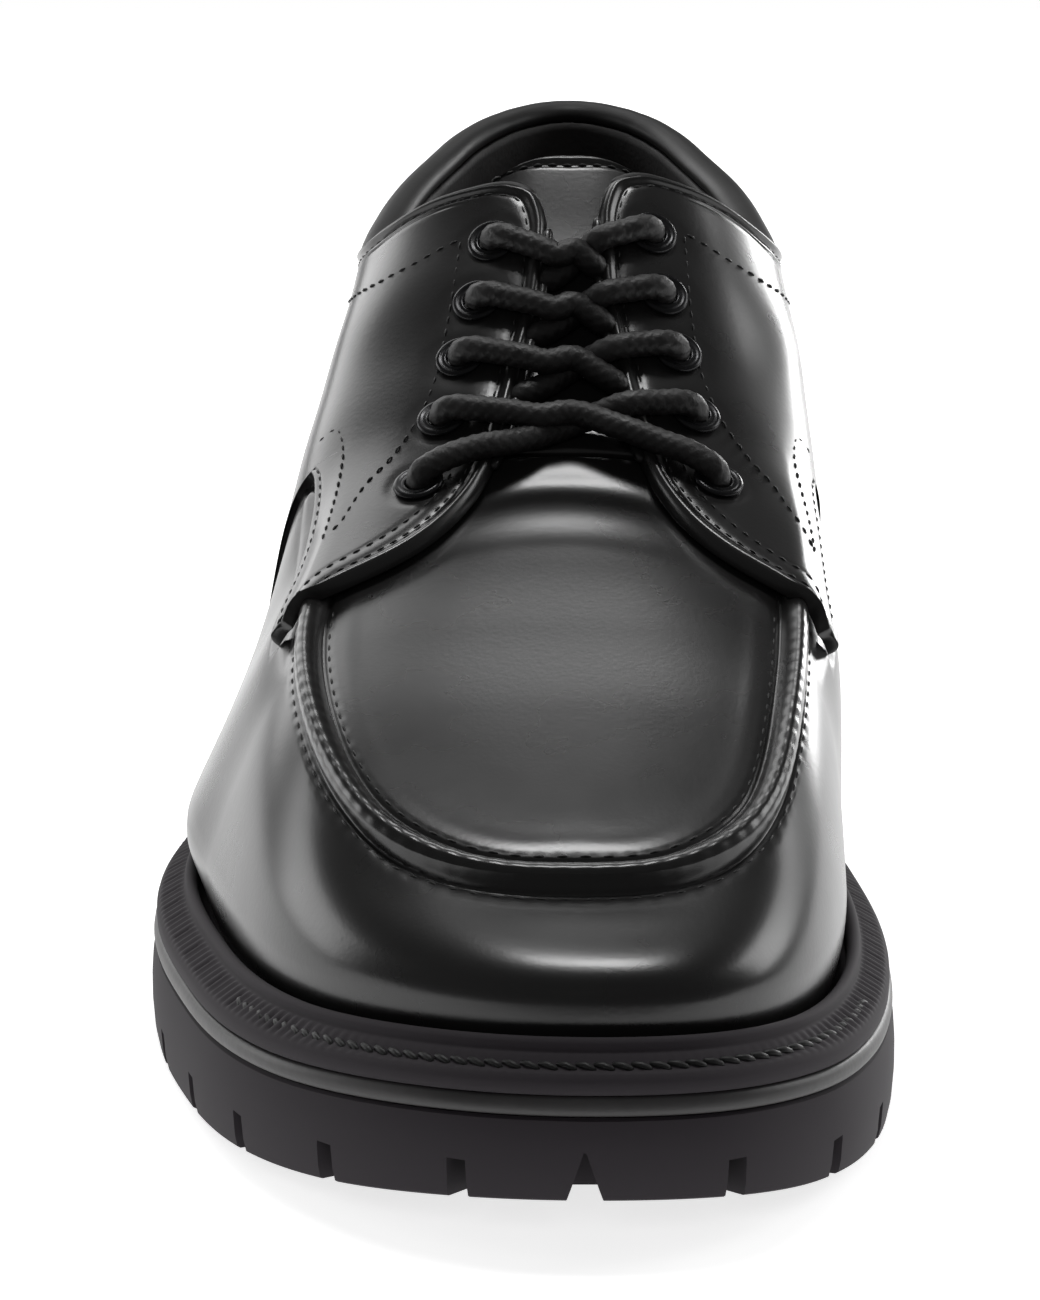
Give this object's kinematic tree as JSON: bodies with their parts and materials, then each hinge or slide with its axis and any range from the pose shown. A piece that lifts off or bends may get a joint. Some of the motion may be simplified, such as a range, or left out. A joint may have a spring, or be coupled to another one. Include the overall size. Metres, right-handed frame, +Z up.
{
  "type": "apron toe derby",
  "caption": "Right apron toe derby: hollow upper with a raised apron seam, open-laced quarters, tongue, round lace crossings, and a thick lugged sole with a block heel.",
  "frame": {"origin": "centre of the bounding box, on the floor plane under the sole", "axes": "+X towards the inner side of the foot, +Y towards the heel, +Z up; the toe points to -Y"},
  "size_m": [0.1089, 0.308, 0.1155],
  "materials": {
    "sole_rubber": "matt black",
    "welt_rubber": "satin black, ribbed",
    "upper_leather": "polished black",
    "tongue_leather": "polished black",
    "insole_board": "matt black",
    "eyelet_metal": "black enamel",
    "lace_cord": "waxed round braid, black"
  },
  "bodies": {
    "root": {"outsole": "sole_rubber", "heel": "sole_rubber", "midsole": "sole_rubber", "welt": "welt_rubber", "insole": "insole_board", "upper": "upper_leather", "quarters": "upper_leather", "tongue": "tongue_leather", "eyelet_outer_1": "eyelet_metal", "eyelet_outer_2": "eyelet_metal", "eyelet_outer_3": "eyelet_metal", "eyelet_outer_4": "eyelet_metal", "eyelet_outer_5": "eyelet_metal", "eyelet_inner_1": "eyelet_metal", "eyelet_inner_2": "eyelet_metal", "eyelet_inner_3": "eyelet_metal", "eyelet_inner_4": "eyelet_metal", "eyelet_inner_5": "eyelet_metal", "lace_cross_1": "lace_cord", "lace_cross_2": "lace_cord", "lace_cross_3": "lace_cord", "lace_cross_4": "lace_cord"}
  },
  "joints": []
}
